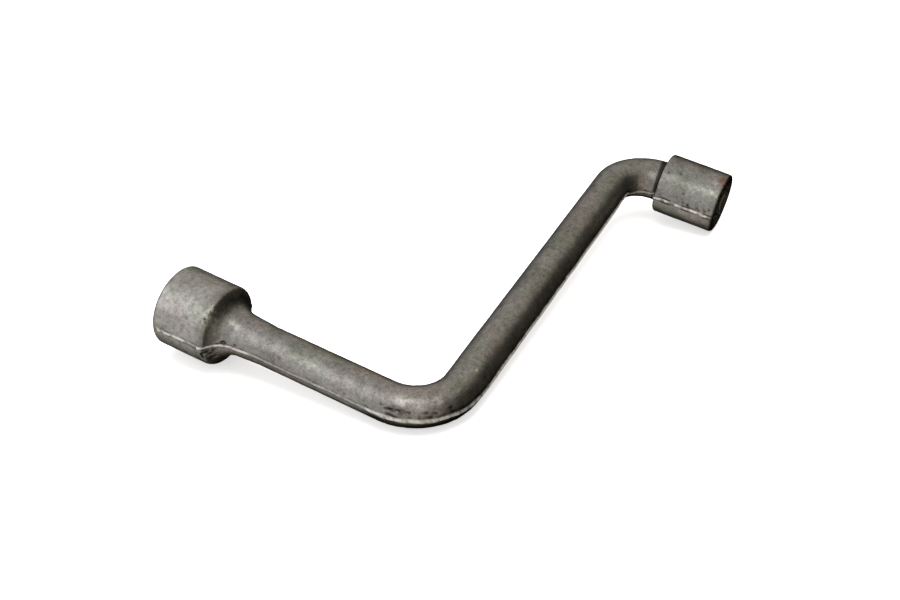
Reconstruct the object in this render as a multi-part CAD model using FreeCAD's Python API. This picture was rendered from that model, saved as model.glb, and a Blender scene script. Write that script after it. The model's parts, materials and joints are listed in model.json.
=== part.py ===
import FreeCAD, Part
import math
import os

# A double-ended socket wrench, drop forged from one bar and bent twice into a Z.
# Millimetres. The shapes are made in a tool frame: the forging's parting plane is z = 0 and
# the large socket lies on the X axis with its mouth at x = 0, facing -X. The small socket
# faces +X, a few degrees off. The whole tool is then laid down as it rests on a flat floor.

# Centreline, measured to the corners where its straight runs would meet
LARGE_ARM = 140.9       # large mouth to first corner
MIDDLE_ARM = 226.4      # first corner to second corner
SMALL_ARM = 56.1        # second corner to small mouth
FIRST_TURN = 95.0       # degrees, the middle arm's heading from the X axis
SMALL_HEADING = 4.8     # degrees, the small arm's heading from the X axis
SMALL_DIP = 3.9         # degrees, the small arm's dip below the parting plane
FIRST_BEND = 23.7       # centreline radius
SECOND_BEND = 21.5      # centreline radius

# Bar
BAR_RADIUS = 9.6
SMALL_NECK_RADIUS = 10.9    # the bar thickens through the second bend to this

# Flash: the thin ridge left along the parting plane
FLASH_HEIGHT = 0.8
FLASH_THICKNESS = 1.2

# Large socket, for a 27 mm hexagon
LARGE_HEX = 27.0
LARGE_HEX_DEPTH = 22.0
LARGE_MOUTH_RADIUS = 19.5
LARGE_RIM_ROUND = 1.2
LARGE_BACK_RADIUS = 19.4
LARGE_WALL_END = 26.3       # where the outer wall starts to round over
LARGE_SHOULDER_ROUND = 2.8
LARGE_NECK_FILLET = 12.0
LARGE_NECK_RADIUS = 10.4    # at the foot of the fillet
LARGE_NECK_END = 52.0       # the neck has thinned to the bar here

# Small socket, for a 22 mm hexagon
SMALL_HEX = 22.0
SMALL_HEX_DEPTH = 23.0
SMALL_RADIUS = 16.1
SMALL_RIM_ROUND = 1.7
SMALL_LENGTH = 33.7         # mouth to back face
SMALL_BACK_ROUND = 1.5

# Both hexagons
LEAD_IN = 0.6               # the entry cone is this much wider than the hexagon's corners
HEX_BOTTOM_DEPTH = 2.5      # depth of the cone at the bottom of a hexagon

X_AXIS = FreeCAD.Vector(1, 0, 0)
Z_AXIS = FreeCAD.Vector(0, 0, 1)
ORIGIN = FreeCAD.Vector(0, 0, 0)


def along(degrees):
    """Unit vector in the parting plane, at this angle from the X axis."""
    angle = math.radians(degrees)
    return FreeCAD.Vector(math.cos(angle), math.sin(angle), 0)


def dipped(direction, degrees):
    """A level direction turned down below the parting plane."""
    angle = math.radians(degrees)
    return direction * math.cos(angle) - Z_AXIS * math.sin(angle)


# Directions of the middle and small arms. The second bend lies square to SMALL_UP.
MIDDLE_WAY = along(FIRST_TURN)
SMALL_WAY = dipped(along(SMALL_HEADING), SMALL_DIP)
SMALL_UP = SMALL_WAY.cross(MIDDLE_WAY).normalize()

FIRST_CORNER = X_AXIS * LARGE_ARM
SECOND_CORNER = FIRST_CORNER + MIDDLE_WAY * MIDDLE_ARM
SMALL_MOUTH = SECOND_CORNER + SMALL_WAY * SMALL_ARM
FIRST_TANGENT = FIRST_BEND * math.tan(math.radians(FIRST_TURN) / 2)
SECOND_TANGENT = SECOND_BEND * math.tan(MIDDLE_WAY.getAngle(SMALL_WAY) / 2)
FIRST_BEND_START = FIRST_CORNER - X_AXIS * FIRST_TANGENT
FIRST_CENTRE = FIRST_BEND_START + Z_AXIS.cross(X_AXIS) * FIRST_BEND
SECOND_BEND_START = SECOND_CORNER - MIDDLE_WAY * SECOND_TANGENT
SECOND_CENTRE = SECOND_BEND_START + MIDDLE_WAY.cross(SMALL_UP) * SECOND_BEND
SMALL_NECK_START = SECOND_CORNER + SMALL_WAY * SECOND_TANGENT


def bar_section(centre, direction, up, radius):
    """Outline of the bar across its run: a circle with a flash ridge on either side."""
    side = up.cross(direction)
    half = FLASH_THICKNESS / 2
    foot = math.sqrt(radius ** 2 - half ** 2)
    tip = radius + FLASH_HEIGHT

    def at(across, height):
        return centre + side * across + up * height

    edges = []
    for turn in (1, -1):
        crown = Part.Arc(at(turn * foot, turn * half), at(0, turn * radius),
                         at(-turn * foot, turn * half))
        ridge = Part.makePolygon([at(-turn * foot, turn * half), at(-turn * tip, turn * half),
                                  at(-turn * tip, -turn * half), at(-turn * foot, -turn * half)])
        edges.append(crown.toShape())
        edges.extend(ridge.Edges)
    return Part.Wire(edges)


def large_arm():
    start = X_AXIS * LARGE_NECK_END
    section = Part.Face(bar_section(start, X_AXIS, Z_AXIS, BAR_RADIUS))
    return section.extrude(FIRST_BEND_START - start)


def first_bend():
    section = Part.Face(bar_section(FIRST_BEND_START, X_AXIS, Z_AXIS, BAR_RADIUS))
    return section.revolve(FIRST_CENTRE, Z_AXIS, FIRST_TURN)


def middle_arm():
    """Straight bar whose flash turns a little, from the first bend's plane to the second's."""
    start = FIRST_CORNER + MIDDLE_WAY * FIRST_TANGENT
    sections = [bar_section(start, MIDDLE_WAY, Z_AXIS, BAR_RADIUS),
                bar_section(SECOND_BEND_START, MIDDLE_WAY, SMALL_UP, BAR_RADIUS)]
    return Part.makeLoft(sections, True, True)


def second_bend():
    """The bend before the small socket, where the bar thickens along the way."""
    to_corner = (SECOND_CORNER - SECOND_CENTRE).normalize()
    arc = Part.Arc(SECOND_BEND_START, SECOND_CENTRE + to_corner * SECOND_BEND, SMALL_NECK_START)
    shell = Part.BRepOffsetAPI.MakePipeShell(Part.Wire([arc.toShape()]))
    shell.setBiNormalMode(SMALL_UP)
    shell.add(bar_section(SECOND_BEND_START, MIDDLE_WAY, SMALL_UP, BAR_RADIUS))
    shell.add(bar_section(SMALL_NECK_START, SMALL_WAY, SMALL_UP, SMALL_NECK_RADIUS))
    shell.build()
    shell.makeSolid()
    return shell.shape()


def shank():
    runs = [large_arm(), first_bend(), middle_arm(), second_bend()]
    return runs[0].fuse(runs[1:]).removeSplitter().Solids[0]


def arc_about(centre, radius, first, last):
    """Arc between two angles in degrees, in the parting plane."""
    return Part.Arc(*[centre + along(angle) * radius
                      for angle in (first, (first + last) / 2, last)])


def outline(*stretches):
    """Face whose edge runs through these points and arcs in turn, joined by straight lines."""
    ends = [(stretch, stretch) if isinstance(stretch, FreeCAD.Vector)
            else (stretch.StartPoint, stretch.EndPoint) for stretch in stretches]
    edges = []
    for stretch, (start, end), (following, _) in zip(stretches, ends, ends[1:] + ends[:1]):
        if start != end:
            edges.append(stretch.toShape())
        if not end.isEqual(following, 1e-6):
            edges.append(Part.makeLine(end, following))
    return Part.Face(Part.Wire(edges))


def large_outline(grow):
    """Half of the large socket's side outline, on the +Y side, swollen by grow."""
    rim_centre = FreeCAD.Vector(LARGE_RIM_ROUND, LARGE_MOUTH_RADIUS + grow - LARGE_RIM_ROUND, 0)
    round_centre = FreeCAD.Vector(LARGE_WALL_END, LARGE_BACK_RADIUS - LARGE_SHOULDER_ROUND, 0)
    rise = LARGE_NECK_RADIUS + LARGE_NECK_FILLET - round_centre.y
    reach = math.sqrt((LARGE_SHOULDER_ROUND + LARGE_NECK_FILLET) ** 2 - rise ** 2)
    fillet_centre = round_centre + FreeCAD.Vector(reach, rise, 0)
    lean = math.degrees(math.atan2(rise, reach))
    return outline(ORIGIN,
                   arc_about(rim_centre, LARGE_RIM_ROUND, 180, 90),
                   arc_about(round_centre, LARGE_SHOULDER_ROUND + grow, 90, lean),
                   arc_about(fillet_centre, LARGE_NECK_FILLET - grow, 180 + lean, 270),
                   FreeCAD.Vector(LARGE_NECK_END, BAR_RADIUS + grow, 0),
                   FreeCAD.Vector(LARGE_NECK_END, 0, 0))


def small_outline(grow):
    """Half of the small socket's side outline, with its mouth at x = 0 facing +X. Only the
    radii are swollen by grow: the flash stops at the flat back face."""
    wall = SMALL_RADIUS + grow
    neck = SMALL_NECK_RADIUS + grow
    rim_centre = FreeCAD.Vector(-SMALL_RIM_ROUND, wall - SMALL_RIM_ROUND, 0)
    back_centre = FreeCAD.Vector(SMALL_BACK_ROUND - SMALL_LENGTH, wall - SMALL_BACK_ROUND, 0)
    neck_start = SECOND_TANGENT - SMALL_ARM
    return outline(ORIGIN,
                   arc_about(rim_centre, SMALL_RIM_ROUND, 0, 90),
                   arc_about(back_centre, SMALL_BACK_ROUND, 90, 180),
                   FreeCAD.Vector(-SMALL_LENGTH, neck, 0),
                   FreeCAD.Vector(neck_start, neck, 0),
                   FreeCAD.Vector(neck_start, 0, 0))


def turned_with_flash(half_outline):
    """The outline turned round the X axis, with the flash standing out along z = 0."""
    half = Z_AXIS * (FLASH_THICKNESS / 2)
    upper = half_outline(FLASH_HEIGHT).translated(half * -1).extrude(half * 2)
    lower = upper.copy()
    lower.rotate(ORIGIN, X_AXIS, 180)
    return half_outline(0).revolve(ORIGIN, X_AXIS, 360).fuse([upper, lower])


def hex_pocket(inward, across_flats, depth):
    """Hexagonal pocket from the origin inwards, with two flats parallel to z = 0."""
    corner = across_flats / math.sqrt(3)
    entry = corner + LEAD_IN
    points = [FreeCAD.Vector(0, math.cos(a) * corner, math.sin(a) * corner)
              for a in [math.radians(60 * i) for i in range(7)]]
    prism = Part.Face(Part.makePolygon(points)).extrude(inward * depth)
    lead_in = Part.makeCone(entry, 0, entry, ORIGIN, inward)
    bottom = Part.makeCone(across_flats / 2, 0, HEX_BOTTOM_DEPTH, inward * depth, inward)
    return prism.fuse([lead_in, bottom])


def large_socket():
    pocket = hex_pocket(X_AXIS, LARGE_HEX, LARGE_HEX_DEPTH)
    return turned_with_flash(large_outline).cut(pocket).removeSplitter().Solids[0]


def small_socket():
    pocket = hex_pocket(X_AXIS * -1, SMALL_HEX, SMALL_HEX_DEPTH)
    socket = turned_with_flash(small_outline).cut(pocket).removeSplitter().Solids[0]
    side = SMALL_UP.cross(SMALL_WAY)
    placing = FreeCAD.Matrix(SMALL_WAY.x, side.x, SMALL_UP.x, SMALL_MOUTH.x,
                             SMALL_WAY.y, side.y, SMALL_UP.y, SMALL_MOUTH.y,
                             SMALL_WAY.z, side.z, SMALL_UP.z, SMALL_MOUTH.z,
                             0, 0, 0, 1)
    return socket.transformed(placing)


def drop(up, axis, radius, rounding):
    """How far the lowest point of a turned, rounded edge is below the edge's centre."""
    level = math.sqrt(1 - up.dot(axis) ** 2)
    return (radius - rounding) * level + rounding


def resting_up():
    """The floor's normal in the tool frame, when the tool lies on its three low points:
    the large socket's shoulder, the outside of the first bend and the small mouth's rim.
    The low points depend on the normal, so all are found together, step by step."""
    shoulder = X_AXIS * LARGE_WALL_END
    rim = SMALL_MOUTH - SMALL_WAY * SMALL_RIM_ROUND
    up = (Z_AXIS - along(FIRST_TURN / 2 - 90) * 0.1).normalize()
    for _ in range(20):
        outward = FreeCAD.Vector(-up.x, -up.y, 0).normalize()
        to_bend = FIRST_CENTRE + outward * FIRST_BEND - shoulder
        to_rim = rim - shoulder
        shoulder_drop = drop(up, X_AXIS, LARGE_BACK_RADIUS, LARGE_SHOULDER_ROUND)
        rim_drop = drop(up, SMALL_WAY, SMALL_RADIUS, SMALL_RIM_ROUND)
        normal = to_bend.cross(to_rim)
        within = (to_rim.cross(normal) * (BAR_RADIUS - shoulder_drop)
                  + normal.cross(to_bend) * (rim_drop - shoulder_drop)) / normal.Length ** 2
        up = within + normal.normalize() * math.sqrt(1 - within.Length ** 2)
    return up


def laid_down(solids):
    """Rest on z = 0, large mouth towards -X, with the footprint centred on the origin."""
    up = resting_up()
    forward = (X_AXIS - up * X_AXIS.dot(up)).normalize()
    across = up.cross(forward)
    turn = FreeCAD.Matrix(forward.x, forward.y, forward.z, 0,
                          across.x, across.y, across.z, 0,
                          up.x, up.y, up.z, 0,
                          0, 0, 0, 1)
    placed = {name: solid.transformed(turn) for name, solid in solids.items()}
    box = Part.makeCompound(list(placed.values())).optimalBoundingBox(False, False)
    shift = FreeCAD.Vector(-box.Center.x, -box.Center.y, -box.ZMin)
    return {name: solid.translated(shift) for name, solid in placed.items()}


solids = laid_down({"large_socket": large_socket(),
                    "shank": shank(),
                    "small_socket": small_socket()})
os.makedirs("parts", exist_ok=True)
for name, solid in solids.items():
    solid.exportStep("parts/" + name + ".step")
    print(name, solid.ShapeType, "valid", solid.isValid(), "volume", round(solid.Volume, 1))
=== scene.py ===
import json
import math

import bpy
import numpy as np
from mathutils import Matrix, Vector


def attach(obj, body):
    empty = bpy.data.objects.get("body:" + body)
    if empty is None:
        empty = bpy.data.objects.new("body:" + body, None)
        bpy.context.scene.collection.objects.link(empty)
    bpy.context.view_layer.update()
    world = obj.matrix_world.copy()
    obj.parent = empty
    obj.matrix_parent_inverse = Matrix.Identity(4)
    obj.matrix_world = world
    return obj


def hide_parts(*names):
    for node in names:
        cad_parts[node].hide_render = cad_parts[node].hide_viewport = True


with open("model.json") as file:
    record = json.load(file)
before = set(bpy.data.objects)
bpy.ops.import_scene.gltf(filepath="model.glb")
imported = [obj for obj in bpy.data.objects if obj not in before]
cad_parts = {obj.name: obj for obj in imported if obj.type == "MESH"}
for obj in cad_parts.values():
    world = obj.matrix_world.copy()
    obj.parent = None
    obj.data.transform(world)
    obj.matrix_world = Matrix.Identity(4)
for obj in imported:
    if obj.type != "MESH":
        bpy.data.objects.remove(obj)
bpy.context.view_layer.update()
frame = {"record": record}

# A forged double-ended socket wrench. Shapes are worked out in millimetres in the tool's own
# frame: the parting plane is z = 0, the large mouth is at the origin and faces -X, and the
# small mouth faces roughly +X. The record's two hexagon mounts place that frame on the floor.
MM = 0.001

# Centreline, measured to the corners where its straight runs would meet
LARGE_ARM = 140.9
SMALL_ARM = 56.1
FIRST_BEND = 23.7
SECOND_BEND = 21.5

# Large socket and its neck
LARGE_HEX = 27.0
LARGE_HEX_DEPTH = 22.0
LARGE_MOUTH_RADIUS = 19.5
LARGE_RIM_ROUND = 1.2
LARGE_BACK_RADIUS = 19.4
LARGE_WALL_END = 26.3
LARGE_SHOULDER_ROUND = 2.8
LARGE_NECK_FILLET = 12.0
LARGE_NECK_RADIUS = 10.4
LARGE_NECK_END = 52.0

# Bar
BAR_RADIUS = 9.6
SMALL_NECK_RADIUS = 10.9
FLASH_HEIGHT = 0.8

# Small socket
SMALL_HEX = 22.0
SMALL_HEX_DEPTH = 23.0
SMALL_RADIUS = 16.1
SMALL_RIM_ROUND = 1.7
SMALL_LENGTH = 33.7
SMALL_BACK_ROUND = 1.5
CREASE_DEPTH = 0.8          # groove round the neck where it meets the back face

# Both hexagons
LEAD_IN = 0.6
HEX_BOTTOM_DEPTH = 2.5
HEX_CORNER_CUT = 0.25       # the hexagon's corners are blunted by this much

# Mesh
SECTOR_COLUMNS = 60         # columns in each sixth of a turn round a socket
ROW_STEP = 0.62             # between rows along a socket's outside
SHANK_ROW_STEP = 0.8

FLOOR_GLOW = 0.6            # the floor is a lit table, which keeps its shadows pale

CAMERA_AZIMUTH = math.radians(31.12)
CAMERA_ELEVATION = math.radians(33.37)
CAMERA_DISTANCE = 0.7011
CAMERA_AIM = Vector((0.00701, -0.02778, 0.00870))
CAMERA_LENS = 57.81


# ---------------------------------------------------------------- the tool's frame and line

def unit(vector):
    return vector / np.linalg.norm(vector)


mounts = {mount["name"]: mount for mount in frame["record"]["mounts"]}
tool_origin = np.array(mounts["large_hex"]["pos_m"])
x_axis = -unit(np.array(mounts["large_hex"]["axis"]))
small_axis = unit(np.array(mounts["small_hex"]["axis"]))
to_corner = np.array(mounts["small_hex"]["pos_m"]) - small_axis * SMALL_ARM * MM - tool_origin
y_axis = unit(to_corner - x_axis * (to_corner @ x_axis))
tool_axes = np.stack([x_axis, y_axis, np.cross(x_axis, y_axis)])

LARGE_WAY = np.array([1.0, 0.0, 0.0])
LEVEL_UP = np.array([0.0, 0.0, 1.0])
middle_span = tool_axes @ to_corner / MM - LARGE_WAY * LARGE_ARM
MIDDLE_WAY = unit(middle_span)
SMALL_WAY = tool_axes @ small_axis
SMALL_UP = unit(np.cross(SMALL_WAY, MIDDLE_WAY))
FIRST_TURN = math.acos(MIDDLE_WAY[0])
SECOND_TURN = math.acos(MIDDLE_WAY @ SMALL_WAY)

# Distances along the centreline from the large mouth
FIRST_TANGENT = FIRST_BEND * math.tan(FIRST_TURN / 2)
SECOND_TANGENT = SECOND_BEND * math.tan(SECOND_TURN / 2)
MIDDLE_LENGTH = np.linalg.norm(middle_span) - FIRST_TANGENT - SECOND_TANGENT
FIRST_BEND_START = LARGE_ARM - FIRST_TANGENT
FIRST_BEND_END = FIRST_BEND_START + FIRST_BEND * FIRST_TURN
SECOND_BEND_START = FIRST_BEND_END + MIDDLE_LENGTH
SECOND_BEND_END = SECOND_BEND_START + SECOND_BEND * SECOND_TURN
SMALL_MOUTH = SECOND_BEND_END + SMALL_ARM - SECOND_TANGENT
SMALL_BACK = SMALL_MOUTH - SMALL_LENGTH


def scaled(vector, amounts):
    return vector * np.asarray(amounts)[..., None]


def centreline(run):
    """Points, headings and upward directions at these distances from the large mouth."""
    first = np.clip((run - FIRST_BEND_START) / FIRST_BEND, 0, FIRST_TURN)
    second = np.clip((run - SECOND_BEND_START) / SECOND_BEND, 0, SECOND_TURN)
    middle = np.clip(run - FIRST_BEND_END, 0, MIDDLE_LENGTH)
    left = np.cross(LEVEL_UP, LARGE_WAY)
    right = np.cross(MIDDLE_WAY, SMALL_UP)
    points = (scaled(LARGE_WAY, np.minimum(run, FIRST_BEND_START) + FIRST_BEND * np.sin(first))
              + scaled(left, FIRST_BEND * (1 - np.cos(first)))
              + scaled(MIDDLE_WAY, middle + SECOND_BEND * np.sin(second))
              + scaled(right, SECOND_BEND * (1 - np.cos(second)))
              + scaled(SMALL_WAY, np.maximum(run - SECOND_BEND_END, 0)))
    early = scaled(LARGE_WAY, np.cos(first)) + scaled(left, np.sin(first))
    late = scaled(MIDDLE_WAY, np.cos(second)) + scaled(right, np.sin(second))
    way = np.where((second > 0)[..., None], late, early)
    up = LEVEL_UP + scaled(SMALL_UP - LEVEL_UP, middle / MIDDLE_LENGTH)
    return points, way, up / np.linalg.norm(up, axis=-1, keepdims=True)


def to_world(points):
    return tool_origin + (points * MM) @ tool_axes


# ---------------------------------------------------------------- noise

def lattice_noise(points, size, seed):
    """Smooth noise between -1 and 1, with cells of this size in millimetres."""
    cells = 48
    values = np.random.default_rng(seed).uniform(-1, 1, (cells, cells, cells))
    place = points / size
    low = np.floor(place).astype(int)
    part = place - low
    part = part ** 3 * (part * (part * 6 - 15) + 10)
    total = 0
    for corner in np.ndindex(2, 2, 2):
        weight = np.prod(np.where(corner, part, 1 - part), axis=-1)
        index = (low + corner) % cells
        total = total + weight * values[index[..., 0], index[..., 1], index[..., 2]]
    return total


def layered_noise(points, size, seed, layers):
    total = 0
    reach = 0
    for layer in range(layers):
        weight = 0.5 ** layer
        shifted = points + 17.3 * layer
        total = total + weight * lattice_noise(shifted, size * weight, seed + layer)
        reach += weight
    return total / reach


def smooth_step(low, high, value):
    t = np.clip((value - low) / (high - low), 0, 1)
    return t * t * (3 - 2 * t)


def bump_of(value, width):
    """1 where value is 0, falling smoothly to nothing over about this width."""
    return np.exp(-(value / width) ** 2)


# ---------------------------------------------------------------- outlines

def line(start, end, step):
    count = max(2, int(math.ceil(math.dist(start, end) / step)) + 1)
    return np.linspace(start, end, count)


def arc(centre, radius, first, last, step):
    """Arc between two angles in degrees."""
    first, last = math.radians(first), math.radians(last)
    count = max(5, int(math.ceil(radius * abs(last - first) / step)) + 1)
    angle = np.linspace(first, last, count)
    return np.stack([centre[0] + radius * np.cos(angle), centre[1] + radius * np.sin(angle)], -1)


def joined(*stretches):
    """Stretches of an outline end to end, each sharing its first point with the last one."""
    rows = [stretches[0]] + [stretch[1:] for stretch in stretches[1:]]
    return np.concatenate(rows)


def large_outside():
    """Distance along the axis and radius, from the rim of the large mouth to the bar."""
    rim_centre = (LARGE_RIM_ROUND, LARGE_MOUTH_RADIUS - LARGE_RIM_ROUND)
    round_centre = (LARGE_WALL_END, LARGE_BACK_RADIUS - LARGE_SHOULDER_ROUND)
    rise = LARGE_NECK_RADIUS + LARGE_NECK_FILLET - round_centre[1]
    reach = math.sqrt((LARGE_SHOULDER_ROUND + LARGE_NECK_FILLET) ** 2 - rise ** 2)
    fillet_centre = (round_centre[0] + reach, round_centre[1] + rise)
    lean = math.degrees(math.atan2(rise, reach))
    rim = arc(rim_centre, LARGE_RIM_ROUND, 180, 90, ROW_STEP / 3)
    shoulder = arc(round_centre, LARGE_SHOULDER_ROUND, 90, lean, ROW_STEP / 2)
    fillet = arc(fillet_centre, LARGE_NECK_FILLET, 180 + lean, 270, ROW_STEP)
    wall = line(rim[-1], shoulder[0], ROW_STEP)
    neck = line(fillet[-1], (LARGE_NECK_END, BAR_RADIUS), ROW_STEP)
    return joined(rim, wall, shoulder, fillet, neck)


def small_outside():
    """Distance from the small mouth and radius, from its rim to the end of the bend."""
    rim_centre = (SMALL_RIM_ROUND, SMALL_RADIUS - SMALL_RIM_ROUND)
    back_centre = (SMALL_LENGTH - SMALL_BACK_ROUND, SMALL_RADIUS - SMALL_BACK_ROUND)
    rim = arc(rim_centre, SMALL_RIM_ROUND, 180, 90, ROW_STEP / 3)
    back_edge = arc(back_centre, SMALL_BACK_ROUND, 90, 0, ROW_STEP / 3)
    wall = line(rim[-1], back_edge[0], ROW_STEP)
    crease = (SMALL_LENGTH, SMALL_NECK_RADIUS - CREASE_DEPTH)
    back = line(back_edge[-1], crease, ROW_STEP / 2)
    neck = line(crease, (SMALL_ARM - SECOND_TANGENT, SMALL_NECK_RADIUS), ROW_STEP / 5)
    return joined(rim, wall, back_edge, back, neck)


# ---------------------------------------------------------------- columns and hexagons

def column_angles(every):
    """Angles round the centreline, closer together by the flash at 0 and 180 degrees."""
    even = np.arange(SECTOR_COLUMNS) / SECTOR_COLUMNS
    packed = 0.4 * even + 0.6 * even ** 2
    rest = 1 - (0.4 * (1 - even) + 0.6 * (1 - even) ** 2)
    sectors = [packed, even, rest, packed, even, rest]
    turns = np.concatenate([(sector + i) / 6 for i, sector in enumerate(sectors)])
    return turns[::every] * 2 * math.pi


def hexagon_radius(across_flats, angles):
    """Radius of a hexagon with corners on the parting plane, its corners a little blunt."""
    from_flat = (angles % (math.pi / 3)) - math.pi / 6
    sharp = across_flats / 2 / np.cos(from_flat)
    return np.minimum(sharp, across_flats / math.sqrt(3) - HEX_CORNER_CUT)


def pocket_rows(across_flats, depth, face_radius, angles):
    """Distance into the socket and radius, from the bottom of its hexagon out to its rim."""
    hexagon = hexagon_radius(across_flats, angles)
    entry = across_flats / math.sqrt(3) + LEAD_IN
    edge = entry - hexagon
    rows = []
    for share in np.linspace(0.04, 1, 14):
        rows.append((depth + HEX_BOTTOM_DEPTH * (1 - share), hexagon * share))
    for share in np.linspace(0, 1, 36)[1:]:
        rows.append((depth + (edge - depth) * share, hexagon))
    for share in np.linspace(0, 1, 8)[1:]:
        inward = edge + (0.2 - edge) * share
        rows.append((inward, entry - inward))
    for share in np.linspace(0, 1, 6)[:-1]:
        rows.append((0.0, entry + 0.2 + (face_radius - entry - 0.2) * share))
    spread = np.ones_like(angles)
    return (np.stack([into * spread for into, _ in rows]),
            np.stack([radius * spread for _, radius in rows]))


# ---------------------------------------------------------------- the forged surface

# Clusters of pits: run, its spread, degrees, their spread, and how many pits
PIT_CLUSTERS = ((FIRST_BEND_START + 8, 2.2, 155, 4, 18),
                (LARGE_WALL_END + 3.5, 1.5, 197, 9, 20),
                (LARGE_WALL_END + 10, 2.5, 172, 3, 5),
                (FIRST_BEND_START + 21, 7.0, 158, 4, 9),
                (SMALL_MOUTH - 14, 5.0, 171, 2, 9))
# Scuffs, where the scale is rubbed bright, and painted highlights on the large shoulder's rounded
# edge: run, degrees, reach and strength
SCUFFS_AND_HIGHLIGHTS = ((FIRST_BEND_START + 9, 125, 2.6, 0.9),
          (FIRST_BEND_START + 15, 135, 2.0, 0.7),
          (FIRST_BEND_START + 21, 130, 1.8, 0.7),
          (FIRST_BEND_END + 5, 115, 0.9, 1.0),
          (LARGE_WALL_END + 12, 120, 1.5, 0.8),
          # The next three are a painted highlight: the bright streak along the large shoulder's
          # rounded edge
          (LARGE_WALL_END + 1.4, 120, 1.4, 0.7),
          (LARGE_WALL_END + 1.4, 130, 1.9, 1.0),
          (LARGE_WALL_END + 1.4, 140, 1.6, 0.9),
          (SMALL_MOUTH - 5, 110, 2.0, 0.6),
          (SMALL_MOUTH - 5, 130, 2.0, 0.6))
RUST_REACH = 5.0            # the rust spot on the small mouth fades out at this distance
rim_line, _, rim_up = centreline(np.array(SMALL_MOUTH - 2))
RUST_SPOT = rim_line + unit(rim_up + 0.2 * np.cross(SMALL_WAY, rim_up)) * SMALL_RADIUS


def between(first, last, fade, value):
    """1 from first to last, fading out over this distance on either side."""
    return smooth_step(first - fade, first + fade, value) * (
        1 - smooth_step(last - fade, last + fade, value))


def flash_relief(points, run, angles, radius):
    """Height of the ragged flash ridge, how much brighter its crest is, and how much painted shade
    lies beside it, and under it round the outside of the first bend. It is widest round the outside
    of the first bend, low on the large arm, sunk on the inside of the second bend, and stands up
    behind the large shoulder."""
    up = radius * np.sin(angles)
    flat = points * (1, 1, 0)
    outside = np.cos(angles) < 0
    on_socket = (run < LARGE_WALL_END) | (run > SMALL_BACK)
    on_arm = between(46, FIRST_BEND_START - 4, 5, run)
    in_first = between(FIRST_BEND_START, FIRST_BEND_END + 4, 9, run) * outside
    on_middle = between(FIRST_BEND_END + 6, SECOND_BEND_START - 6, 9, run) * outside
    in_second = between(SECOND_BEND_START + 4, SECOND_BEND_END, 6, run) * outside
    fin = bump_of(run - 35, 7) * outside

    centre = ((0.3 + 0.15 * on_socket) * lattice_noise(flat, 7, 41)
              - 0.8 * on_middle - 2.2 * in_second)
    half = (0.62 + 0.22 * layered_noise(flat, 3, 42, 2)
            + 0.45 * in_first + 0.25 * on_middle - 0.12 * fin)
    off = np.abs(up - centre) / half
    crest = 1 - smooth_step(0.3, 1.4, off)

    ragged = 0.40 + 0.75 * layered_noise(flat, 2.2, 43, 2)
    even = (0.62 + 0.2 * layered_noise(flat, 4, 45, 2)
            - 0.35 * on_arm + 0.5 * fin + 0.3 * on_middle)
    height = np.clip(np.where(on_socket, ragged, even), 0.03, FLASH_HEIGHT)
    height = height * smooth_step(0.3, 2.5, np.minimum(run, SMALL_MOUTH - run))
    height = height * np.where(outside, 1, 0.5)

    gaps = smooth_step(-0.45, 0.05, layered_noise(flat, 2.0, 46, 2))
    wear_and_highlight = np.clip(1.25 * crest, 0, 1) * np.clip(height / 0.5, 0, 1)
    wear_and_highlight = wear_and_highlight * (1 - 0.6 * on_arm + 0.8 * on_middle) * (1 - 0.5 * in_second)
    wear_and_highlight = wear_and_highlight * np.where(on_socket, gaps, 1)

    # Painted shade: a dark band on either side of the flash, and a dark underside below it round the
    # first bend
    shade_beside_flash = smooth_step(1.0, 1.5, off) * (1 - smooth_step(1.9, 3.2, off)) * (1 - 0.6 * on_arm)
    shade_beside_flash = shade_beside_flash * smooth_step(-0.25, 0.35, layered_noise(flat, 3.0, 47, 2))
    shade_under_flash = smooth_step(0.2, 1.4, centre - half - up) * outside
    shade_under_flash = shade_under_flash * between(FIRST_BEND_START - 6, FIRST_BEND_END + 30, 8, run)
    return height * crest, wear_and_highlight, np.maximum(shade_beside_flash, shade_under_flash)


def forged_relief(points, run):
    """How far the forged skin lies inside its nominal shape, in millimetres below zero.
    The skin is rougher where the bar was bent."""
    rougher = 1 + 1.2 * between(FIRST_BEND_START, FIRST_BEND_END, 6, run)
    broad = lattice_noise(points, 14, 11)
    lumps = layered_noise(points, 4, 12, 2)
    grain = layered_noise(points, 1.3, 14, 2)
    return -0.16 + 0.07 * broad + (0.06 * lumps + 0.03 * grain) * rougher


def pit_places():
    """Run, angle in degrees, width and depth of each pit."""
    rng = np.random.default_rng(5)
    clusters = [np.stack([rng.normal(place, spread, count), rng.normal(degrees, turn, count),
                          rng.uniform(0.35, 0.9, count), rng.uniform(0.2, 0.55, count)], -1)
                for place, spread, degrees, turn, count in PIT_CLUSTERS]
    count = 130
    scattered = np.stack([rng.uniform(3, SMALL_MOUTH - 3, count), rng.uniform(0, 360, count),
                          rng.uniform(0.35, 0.8, count), rng.uniform(0.05, 0.2, count)], -1)
    return np.concatenate(clusters + [scattered])


def turn_from(angles, degrees):
    """The turn from this angle, between half a turn back and half a turn on."""
    return (angles - math.radians(degrees) + math.pi) % (2 * math.pi) - math.pi


def pits(run, angles, radius):
    """Depth of the pits, and how much painted shade darkens them inside."""
    depth = np.zeros_like(run)
    dark = np.zeros_like(run)
    for place, degrees, width, deep in pit_places():
        away = np.hypot(run - place, radius * turn_from(angles, degrees))
        shape = bump_of(away, width)
        depth += deep * shape
        dark = np.maximum(dark, shape * min(1, deep / 0.2))
    return depth, dark


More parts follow.
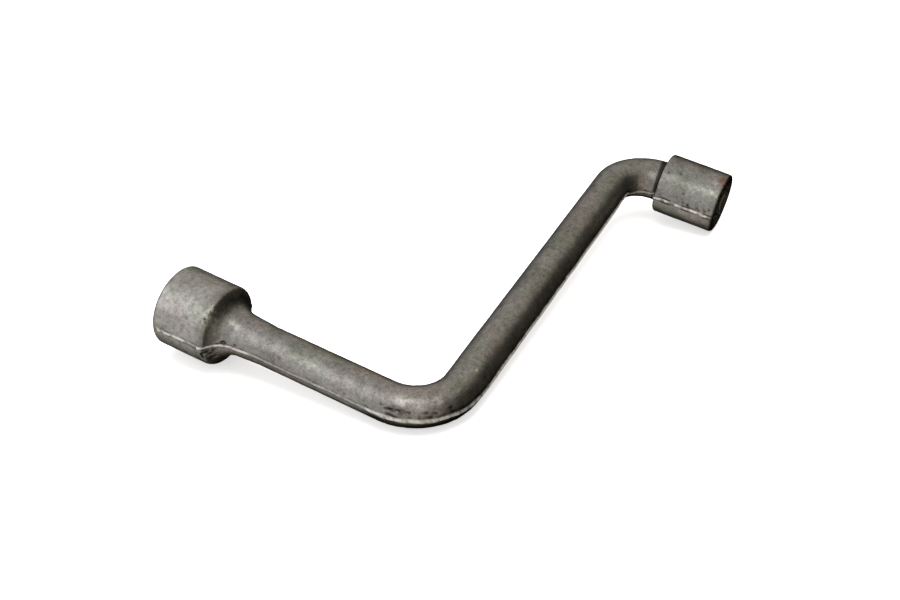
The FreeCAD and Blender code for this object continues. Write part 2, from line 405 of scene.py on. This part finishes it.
def scuffs_and_highlights(points, run, angles, radius):
    """How far the scale is rubbed off, and how strong the painted highlight on the large shoulder's
    edge is, in mottled spots.
    """
    rubbed = np.zeros_like(run)
    for place, degrees, reach, strength in SCUFFS_AND_HIGHLIGHTS:
        away = np.hypot(run - place, radius * turn_from(angles, degrees))
        rubbed = np.maximum(rubbed, strength * bump_of(away, reach))
    return rubbed * smooth_step(-0.45, 0.15, layered_noise(points, 1.2, 61, 2))


def surface(run, radius, angles):
    """Points of the surface, and the direction out of the metal, on rows of columns."""
    line_points, way, up = centreline(run)
    side = np.cross(up, way)
    points = line_points + scaled(side, radius * np.cos(angles)) + scaled(up, radius * np.sin(angles))
    wrapped = np.concatenate([points[:, -1:], points, points[:, :1]], axis=1)
    round_way = wrapped[:, 2:] - wrapped[:, :-2]
    along_way = np.gradient(points, axis=0)
    normal = np.cross(round_way, along_way)
    return points, normal / np.linalg.norm(normal, axis=-1, keepdims=True)


def closed_faces(rows, columns, flipped):
    """Quads between rows of columns that run round a tube, and a fan closing each end."""
    index = np.arange(rows * columns).reshape(rows, columns)
    turned = np.roll(index, -1, axis=1)
    quads = np.stack([index[:-1], turned[:-1], turned[1:], index[1:]], -1).reshape(-1, 4)
    hub = rows * columns
    faces = quads.tolist()
    faces += [(hub, b, a) for a, b in zip(index[0].tolist(), turned[0].tolist())]
    faces += [(hub + 1, a, b) for a, b in zip(index[-1].tolist(), turned[-1].tolist())]
    return [tuple(reversed(face)) for face in faces] if flipped else faces


def resting_on_floor(points):
    return 1 - smooth_step(2.0, 5.5, to_world(points)[..., 2] / MM)


def painted_shade_on(points, run, angles, radius):
    """How much painted shade darkens the steel where it rests on the floor, in the corner behind the
    small socket, round both mouths, behind the large shoulder and along the small socket's top."""
    patchy = 0.75 + 0.5 * layered_noise(points, 1.5, 51, 2)
    corner = between(SMALL_BACK - 3.4, SMALL_BACK + 0.4, 0.4, run) * (radius < SMALL_RADIUS - 0.5)
    mouths = (1 - smooth_step(0.8, 1.9, np.minimum(run, SMALL_MOUTH - run))) * patchy
    shoulder = between(LARGE_WALL_END + 3.2, LARGE_WALL_END + 6.2, 0.8, run) * patchy
    shoulder = shoulder * (0.35 + 0.5 * bump_of(turn_from(angles, 60), 0.7))
    top = 0.75 * patchy * (run > SMALL_BACK) * bump_of(turn_from(angles, 62), 0.32)
    return np.maximum.reduce([top, 0.9 * resting_on_floor(points), 0.92 * corner,
                              np.clip(mouths, 0, 0.9), np.clip(shoulder, 0, 0.9)])


def skin(name, run, radius, angles, forged, inside, flipped):
    """A closed mesh from rows of the surface. forged and inside say, row by row, how much
    of the forged relief it takes and how far it is inside a socket."""
    points, normal = surface(run, radius, angles)
    if flipped:
        normal = -normal
    ridge, wear_and_highlight, beside = flash_relief(points, run, angles, radius)
    hollow, pitted = pits(run, angles, radius)
    forged = np.broadcast_to(forged[:, None], run.shape)
    outer = forged > 0.99
    sunk = np.minimum(forged_relief(points, run), 0) * np.maximum(forged, 0.35)
    points = points + normal * (sunk + (ridge - hollow) * outer)[..., None]

    # Painted light: the large socket's outside is lightened a little toward the rubbed-steel tone,
    # fading out before its shoulder
    pale = 0.2 * (1 - smooth_step(LARGE_WALL_END - 4, LARGE_WALL_END, run))
    wear_and_highlight = np.maximum.reduce([wear_and_highlight, scuffs_and_highlights(points, run, angles, radius), pale])
    # Painted shade beside and under the flash, inside the pits, where it rests on the floor, in the
    # crease, round the mouths, behind the shoulder and along the small socket's top
    painted_shade = np.maximum.reduce([0.9 * beside, pitted, painted_shade_on(points, run, angles, radius)])
    end_face = np.minimum(run, SMALL_MOUTH - run) < 0.5
    from_rust = np.linalg.norm(points - RUST_SPOT, axis=-1)
    # The first mark is rubbed steel mixed with painted highlight and painted light, kept off where it
    # rests on the floor
    marks = {"wear_and_highlight": wear_and_highlight * outer * (1 - resting_on_floor(points)),
             "painted_shade": painted_shade * (outer | end_face),
             "rust": 1 - smooth_step(1.5, RUST_REACH, from_rust),
             "inside": np.broadcast_to(inside[:, None], run.shape)}
    return marked_mesh(name, points, closed_faces(*run.shape, flipped), marks)


def marked_mesh(name, points, faces, marks):
    """An object whose vertices are these points and the middle of each end row, and which
    carries each mark as an attribute for the material to read."""
    ends = np.stack([points[0].mean(axis=0), points[-1].mean(axis=0)])
    vertices = np.concatenate([points.reshape(-1, 3), ends])
    mesh = bpy.data.meshes.new(name)
    mesh.from_pydata(to_world(vertices).tolist(), [], faces)
    mesh.shade_smooth()
    mesh.set_sharp_from_angle(angle=math.radians(50))
    for mark, values in marks.items():
        layer = mesh.attributes.new(mark, "FLOAT", "POINT")
        layer.data.foreach_set("value", np.append(values.ravel(), (0, 0)).astype(np.float32))
    piece = bpy.data.objects.new(name, mesh)
    bpy.context.collection.objects.link(piece)
    return piece


def socket(name, pocket, outside, mouth, flipped):
    """A socket's skin: out of its hexagon, over its rim and back along its outside."""
    angles = column_angles(1)
    spread = np.ones_like(angles)
    into = np.concatenate([pocket[0], outside[:, :1] * spread])
    radius = np.concatenate([pocket[1], outside[:, 1:] * spread])
    run = mouth - into if flipped else into
    forged = np.concatenate([np.zeros(len(pocket[0])), np.ones(len(outside))])
    # Painted shade inside the hexagon: 0.4 on the mouth face, full from 1.2 mm in
    depth = np.clip(0.4 + pocket[0].mean(axis=1) / 2, 0, 1)
    inside = np.concatenate([depth, np.zeros(len(outside))])
    return skin(name, run, radius, angles, forged, inside, flipped)


def large_socket():
    pocket = pocket_rows(LARGE_HEX, LARGE_HEX_DEPTH, LARGE_MOUTH_RADIUS - LARGE_RIM_ROUND,
                         column_angles(1))
    return socket("forged_large_socket", pocket, large_outside(), 0, False)


def small_socket():
    pocket = pocket_rows(SMALL_HEX, SMALL_HEX_DEPTH, SMALL_RADIUS - SMALL_RIM_ROUND,
                         column_angles(1))
    return socket("forged_small_socket", pocket, small_outside(), SMALL_MOUTH, True)


def shank():
    angles = column_angles(2)
    length = SECOND_BEND_END - LARGE_NECK_END
    run = np.linspace(LARGE_NECK_END, SECOND_BEND_END, int(length / SHANK_ROW_STEP))
    growth = np.clip((run - SECOND_BEND_START) / (SECOND_BEND_END - SECOND_BEND_START), 0, 1)
    radius = BAR_RADIUS + (SMALL_NECK_RADIUS - BAR_RADIUS) * growth
    spread = np.ones_like(angles)
    whole = np.ones(len(run))
    return skin("forged_shank", run[:, None] * spread, radius[:, None] * spread, angles,
                whole, 0 * whole, False)


# ---------------------------------------------------------------- materials

def node(tree, kind, **inputs):
    """A shader node with some of its inputs set to numbers or linked to other nodes' outputs."""
    made = tree.nodes.new(kind)
    for key, value in inputs.items():
        socket_in = made.inputs[key.replace("_", " ")]
        if isinstance(value, bpy.types.NodeSocket):
            tree.links.new(value, socket_in)
        else:
            socket_in.default_value = value
    return made


def math_node(tree, operation, first, second, clamp=False):
    made = tree.nodes.new("ShaderNodeMath")
    made.operation = operation
    made.use_clamp = clamp
    for slot, value in enumerate((first, second)):
        if isinstance(value, bpy.types.NodeSocket):
            tree.links.new(value, made.inputs[slot])
        else:
            made.inputs[slot].default_value = value
    return made.outputs["Value"]


def noise(tree, place, size, detail, roughness=0.55):
    """Noise from 0 to 1 whose largest features are about this many millimetres across."""
    made = node(tree, "ShaderNodeTexNoise", Vector=place, Scale=1 / (size * MM),
                Detail=detail, Roughness=roughness)
    return made.outputs["Fac"]


def ramp(tree, value, *stops):
    """Colour ramp through (position, colour) stops."""
    made = node(tree, "ShaderNodeValToRGB", Fac=value)
    elements = made.color_ramp.elements
    while len(elements) < len(stops):
        elements.new(0.5)
    for element, (position, colour) in zip(elements, stops):
        element.position = position
        element.color = (*colour, 1)
    return made.outputs["Color"]


def mixed(tree, amount, first, second, blend="MIX"):
    made = tree.nodes.new("ShaderNodeMix")
    made.data_type = "RGBA"
    made.blend_type = blend
    for slot, value in ((0, amount), (6, first), (7, second)):
        if isinstance(value, bpy.types.NodeSocket):
            tree.links.new(value, made.inputs[slot])
        else:
            made.inputs[slot].default_value = value
    return made.outputs[2]


def attribute(tree, name):
    made = tree.nodes.new("ShaderNodeAttribute")
    made.attribute_name = name
    return made.outputs["Fac"]


def scale_tone(tree, place, mottle, grain):
    """Colour of the untouched scale, from broad patches down to grain."""
    patches = noise(tree, place, 20, 3)
    clouds = noise(tree, place, 9, 4)
    tone = ramp(tree, mottle, (0.30, (0.190, 0.185, 0.172)), (0.50, (0.262, 0.257, 0.243)),
                (0.70, (0.340, 0.331, 0.314)))
    hue = ramp(tree, patches, (0.38, (0.94, 0.975, 0.90)), (0.5, (1.0, 0.985, 0.98)),
               (0.62, (1.06, 0.98, 0.97)))
    shade = ramp(tree, clouds, (0.32, (0.80, 0.79, 0.76)), (0.5, (1, 1, 1)),
                 (0.68, (1.12, 1.12, 1.13)))
    speckle = ramp(tree, grain, (0.30, (0.50, 0.50, 0.49)), (0.42, (0.92, 0.92, 0.92)),
                   (0.60, (1.06, 1.06, 1.06)), (0.72, (1.55, 1.54, 1.52)))
    tone = mixed(tree, 1.0, tone, hue, "MULTIPLY")
    tone = mixed(tree, 1.0, tone, shade, "MULTIPLY")
    return mixed(tree, 0.9, tone, speckle, "MULTIPLY")


def forged_steel():
    """Dark scale over steel: mottled grey-green to brown, bright where it is rubbed off and where
    highlight and light are painted on, nearly black where shade is painted on, and with painted shade
    inside the pockets.
    """
    material = bpy.data.materials.new("forged_steel")
    material.use_nodes = True
    tree = material.node_tree
    shader = tree.nodes["Principled BSDF"]
    place = tree.nodes.new("ShaderNodeTexCoord").outputs["Object"]
    mottle = noise(tree, place, 2.2, 5, 0.7)
    grain = noise(tree, place, 0.85, 3, 0.65)
    tone = scale_tone(tree, place, mottle, grain)
    # Painted shade: this mark darkens the scale nearly to black
    tone = mixed(tree, attribute(tree, "painted_shade"), tone, (0.022, 0.019, 0.016, 1))
    # Rubbed steel, painted highlight and painted light: this mark lightens the tone and makes it less
    # metallic
    wear_and_highlight_mix = math_node(tree, "MULTIPLY", attribute(tree, "wear_and_highlight"),
                     ramp(tree, mottle, (0.36, (0.3, 0.3, 0.3)), (0.55, (0.95, 0.95, 0.95))), True)
    tone = mixed(tree, wear_and_highlight_mix, tone, (0.74, 0.72, 0.68, 1))
    rust = math_node(tree, "MULTIPLY", attribute(tree, "rust"),
                     ramp(tree, grain, (0.40, (0, 0, 0)), (0.56, (0.8, 0.8, 0.8))))
    tone = mixed(tree, rust, tone, (0.20, 0.065, 0.03, 1))
    # Painted shade inside the hexagon pockets
    pocket_shade = math_node(tree, "MULTIPLY", attribute(tree, "inside"), 0.8)
    tone = mixed(tree, pocket_shade, tone, (0.06, 0.045, 0.032, 1))
    tree.links.new(tone, shader.inputs["Base Color"])
    rough = math_node(tree, "MULTIPLY_ADD", mottle, -0.2)
    rough.node.inputs[2].default_value = 0.44
    tree.links.new(rough, shader.inputs["Roughness"])
    metal = math_node(tree, "MULTIPLY_ADD", wear_and_highlight_mix, -0.8)
    metal.node.inputs[2].default_value = 0.9
    tree.links.new(metal, shader.inputs["Metallic"])
    shader.inputs["Specular Tint"].default_value = (0.22, 0.22, 0.22, 1)
    height = math_node(tree, "ADD", math_node(tree, "MULTIPLY", mottle, 0.7), grain)
    bump = node(tree, "ShaderNodeBump", Strength=0.55, Distance=0.16 * MM, Height=height)
    tree.links.new(bump.outputs["Normal"], shader.inputs["Normal"])
    return material


# ---------------------------------------------------------------- floor, light and camera

def floor():
    """A flat round floor whose far edge curves up into a backdrop."""
    sides = 96
    turns = np.arange(sides) * 2 * math.pi / sides
    climb = np.radians(np.arange(0, 91, 15))
    reaches = np.append(4.0 + 2.0 * np.sin(climb), 6.0)
    heights = np.append(2.0 - 2.0 * np.cos(climb), 5.0)
    rings = np.stack([np.outer(reaches, np.cos(turns)), np.outer(reaches, np.sin(turns)),
                      np.outer(heights, np.ones(sides))], -1)
    index = np.arange(rings.shape[0] * sides).reshape(-1, sides)
    following = np.roll(index, -1, axis=1)
    wall = np.stack([index[:-1], index[1:], following[1:], following[:-1]], -1).reshape(-1, 4)
    mesh = bpy.data.meshes.new("floor")
    mesh.from_pydata(rings.reshape(-1, 3).tolist(), [], wall.tolist() + [index[0].tolist()])
    mesh.shade_smooth()
    mesh.polygons[-1].use_smooth = False
    plane = bpy.data.objects.new("floor", mesh)
    bpy.context.collection.objects.link(plane)
    material = bpy.data.materials.new("floor")
    material.use_nodes = True
    shader = material.node_tree.nodes["Principled BSDF"]
    shader.inputs["Base Color"].default_value = (0.8, 0.8, 0.8, 1)
    shader.inputs["Roughness"].default_value = 0.9
    shader.inputs["Emission Color"].default_value = (1, 1, 1, 1)
    shader.inputs["Emission Strength"].default_value = FLOOR_GLOW
    mesh.materials.append(material)
    plane.visible_diffuse = False
    plane.visible_glossy = False
    return plane


def area_light(name, place, size, power, receivers):
    """A soft light that looks at the origin and lights only these objects."""
    data = bpy.data.lights.new(name, "AREA")
    data.shape = "RECTANGLE"
    data.size, data.size_y = size
    data.energy = power
    light = bpy.data.objects.new(name, data)
    light.location = place
    light.rotation_euler = (-Vector(place)).to_track_quat("-Z", "Y").to_euler()
    bpy.context.collection.objects.link(light)
    lit = bpy.data.collections.new(name + "_lit")
    for receiver in receivers:
        lit.objects.link(receiver)
    light.light_linking.receiver_collection = lit


def toward(tree, direction):
    """How far the view of the surroundings points this way: 1 straight at it, 0 straight away."""
    made = tree.nodes.new("ShaderNodeVectorMath")
    made.operation = "DOT_PRODUCT"
    tree.links.new(tree.nodes.new("ShaderNodeTexCoord").outputs["Generated"], made.inputs[0])
    made.inputs[1].default_value = Vector(direction).normalized()
    share = math_node(tree, "MULTIPLY_ADD", made.outputs["Value"], 0.5)
    share.node.inputs[2].default_value = 0.5
    return share


def surroundings():
    """A pale room, brightest in front on the left, dark on the right and low at the back."""
    world = bpy.data.worlds.new("studio")
    world.use_nodes = True
    tree = world.node_tree
    room = ramp(tree, toward(tree, (0.70, 0.60, -0.40)),
                (0.03, (1.10, 1.10, 1.10)), (0.25, (0.86, 0.85, 0.83)), (0.5, (0.78, 0.745, 0.68)),
                (0.70, (0.65, 0.61, 0.52)), (0.79, (0.30, 0.285, 0.24)),
                (0.85, (0.055, 0.048, 0.036)))
    low_back = ramp(tree, toward(tree, (-0.35, 0.65, -0.68)), (0.78, (1, 1, 1)),
                    (0.90, (0.04, 0.04, 0.04)))
    right = ramp(tree, toward(tree, (1.0, 0.15, 0.25)), (0.90, (1, 1, 1)),
                 (0.98, (0.20, 0.18, 0.15)))
    tone = mixed(tree, 1.0, room, low_back, "MULTIPLY")
    tone = mixed(tree, 1.0, tone, right, "MULTIPLY")
    tree.links.new(tone, tree.nodes["Background"].inputs["Color"])
    bpy.context.scene.world = world


def lights(pieces, plane):
    surroundings()
    area_light("floor_light", (0, 0, 1.4), (1.2, 1.2), 25, [plane])
    area_light("key", (-0.60, -0.80, 0.80), (0.9, 0.9), 2.0, pieces)
    area_light("fill", (0.30, -0.52, 0.95), (0.35, 0.35), 1.1, pieces)


def camera():
    data = bpy.data.cameras.new("camera")
    data.lens = CAMERA_LENS
    data.sensor_width = 36
    data.clip_start = 0.01
    eye = bpy.data.objects.new("camera", data)
    back = Vector((math.sin(CAMERA_AZIMUTH) * math.cos(CAMERA_ELEVATION),
                   -math.cos(CAMERA_AZIMUTH) * math.cos(CAMERA_ELEVATION),
                   math.sin(CAMERA_ELEVATION)))
    eye.location = CAMERA_AIM + back * CAMERA_DISTANCE
    eye.rotation_euler = (-back).to_track_quat("-Z", "Y").to_euler()
    bpy.context.collection.objects.link(eye)
    bpy.context.scene.camera = eye


# ---------------------------------------------------------------- the whole scene

steel = forged_steel()
pieces = {"large_socket": large_socket(), "shank": shank(), "small_socket": small_socket()}
for cad_node, piece in pieces.items():
    piece.data.materials.append(steel)
    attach(piece, "root")
    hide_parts(cad_node)
lights(pieces.values(), floor())
camera()
bpy.context.scene.view_settings.view_transform = "Standard"
